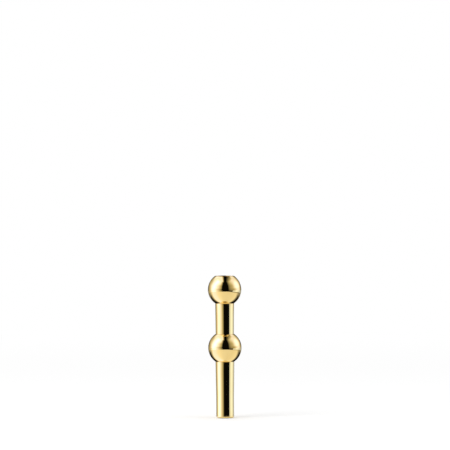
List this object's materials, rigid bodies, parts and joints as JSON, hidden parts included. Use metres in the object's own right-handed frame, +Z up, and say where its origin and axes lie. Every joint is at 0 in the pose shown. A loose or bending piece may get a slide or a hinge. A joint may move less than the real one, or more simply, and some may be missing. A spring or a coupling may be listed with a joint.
{
  "type": "ball-and-tube bud vase",
  "caption": "Slim polished brass vase of balls on a tapered tube, bored through for thin stems, with a plain plug end that fits a holder's cup.",
  "frame": {"origin": "centre of the foot's underside, where the axis meets the surface it stands on", "axes": "+Z up along the axis, from the foot to the mouth; the shape is turned, so X and Y are alike"},
  "size_m": [0.024, 0.024, 0.1023],
  "materials": {
    "brass": "mirror polished",
    "bush_brass": "as turned",
    "seal": "matte"
  },
  "bodies": {
    "root": {"upper_ball": "brass", "neck_tube": "brass", "lower_ball": "brass", "stem_tube": "brass", "base_plug": "brass", "neck_top_bush": "bush_brass", "neck_bottom_bush": "bush_brass", "stem_top_bush": "bush_brass", "neck_top_seal": "seal", "neck_bottom_seal": "seal", "stem_top_seal": "seal", "base_seal": "seal"}
  },
  "joints": []
}
